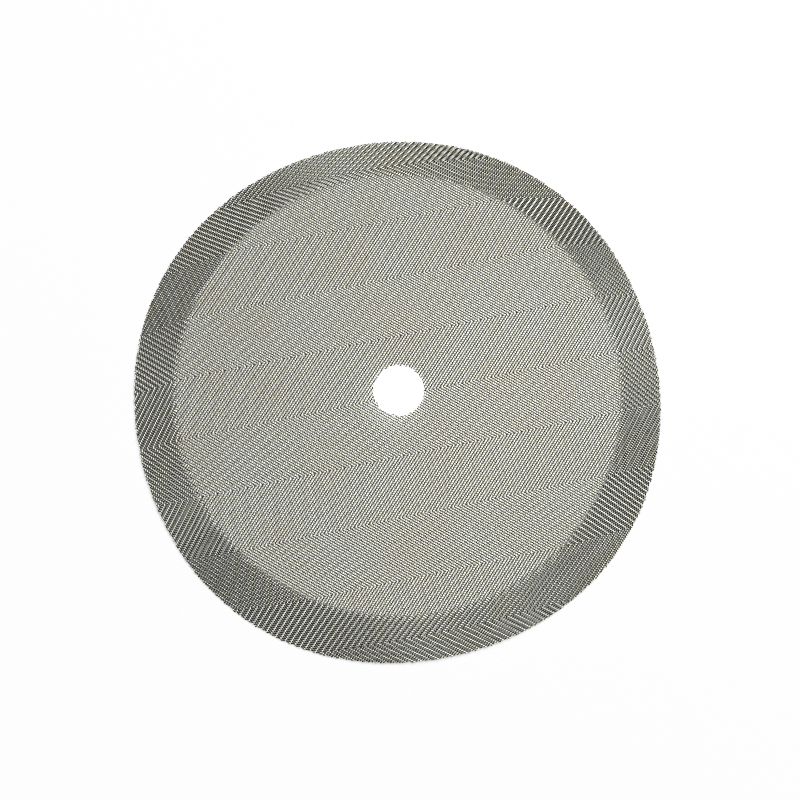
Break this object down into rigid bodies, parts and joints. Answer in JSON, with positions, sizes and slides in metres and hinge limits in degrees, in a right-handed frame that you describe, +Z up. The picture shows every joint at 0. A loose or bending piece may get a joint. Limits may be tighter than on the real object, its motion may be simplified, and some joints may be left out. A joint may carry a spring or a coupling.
{
  "type": "woven wire filter disc",
  "caption": "Domed round filter screen of herringbone woven stainless wire, with a flat centre, a rod hole and a sloping rim that wipes the wall of a plunger coffee pot.",
  "frame": {"origin": "under the centre of the rod hole, at the level of the rim edge that the screen lies on", "axes": "+Z up along the rod hole, away from the hollow side; X and Y in the plane of the rim edge, with the weave's bands turned 11.5 degrees from X"},
  "size_m": [0.0996, 0.0996, 0.0058],
  "materials": {
    "wire_cloth": "bright drawn stainless wire in a herringbone twill weave"
  },
  "bodies": {
    "root": {"mesh_disc": "wire_cloth"}
  },
  "joints": []
}
